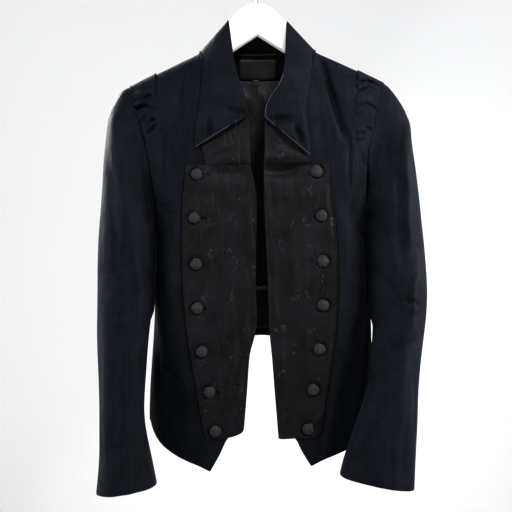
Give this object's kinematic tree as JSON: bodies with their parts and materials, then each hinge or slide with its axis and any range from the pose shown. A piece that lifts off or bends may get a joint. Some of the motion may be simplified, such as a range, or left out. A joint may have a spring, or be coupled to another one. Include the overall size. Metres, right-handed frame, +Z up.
{
  "type": "double-breasted jacket on a hanger",
  "caption": "Double-breasted military-style jacket with flared long sleeves, wing collar, ruched shoulders and buttoned brocade plastrons, on a flat hanger with a hook.",
  "frame": {"origin": "top of the inside of the hook's bend, where the hanger hangs on its rail", "axes": "+Z up, the front of the jacket faces -Y, +X towards the wearer's left; millimetres in the source"},
  "size_m": [0.5052, 0.1627, 0.8054],
  "materials": {
    "crepe": "navy-black wool crepe",
    "brocade": "charcoal-black crinkled floral brocade",
    "covered_button": "coarse charcoal cloth over a domed button",
    "lining_satin": "grey satin lining",
    "woven_tape": "black woven tape",
    "hanger_plastic": "smooth white",
    "hook_metal": "bright plated wire"
  },
  "bodies": {
    "root": {"hanger": "hanger_plastic", "hanger_hook": "hook_metal", "back": "crepe", "back_neck_facing": "crepe", "back_lining": "lining_satin", "neck_label": "woven_tape", "size_tab": "woven_tape", "hang_loop": "woven_tape", "collar": "crepe", "front_right": "crepe", "armhole_panel_right": "crepe", "upper_sleeve_right": "crepe", "under_sleeve_right": "crepe", "pocket_welt_right": "crepe", "neck_facing_right": "brocade", "plastron_right": "brocade", "button_right_1": "covered_button", "button_right_2": "covered_button", "button_right_3": "covered_button", "button_right_4": "covered_button", "button_right_5": "covered_button", "button_right_6": "covered_button", "button_right_7": "covered_button", "front_left": "crepe", "armhole_panel_left": "crepe", "upper_sleeve_left": "crepe", "under_sleeve_left": "crepe", "pocket_welt_left": "crepe", "neck_facing_left": "brocade", "plastron_left": "brocade", "button_left_1": "covered_button", "button_left_2": "covered_button", "button_left_3": "covered_button", "button_left_4": "covered_button", "button_left_5": "covered_button", "button_left_6": "covered_button", "button_left_7": "covered_button"}
  },
  "joints": []
}
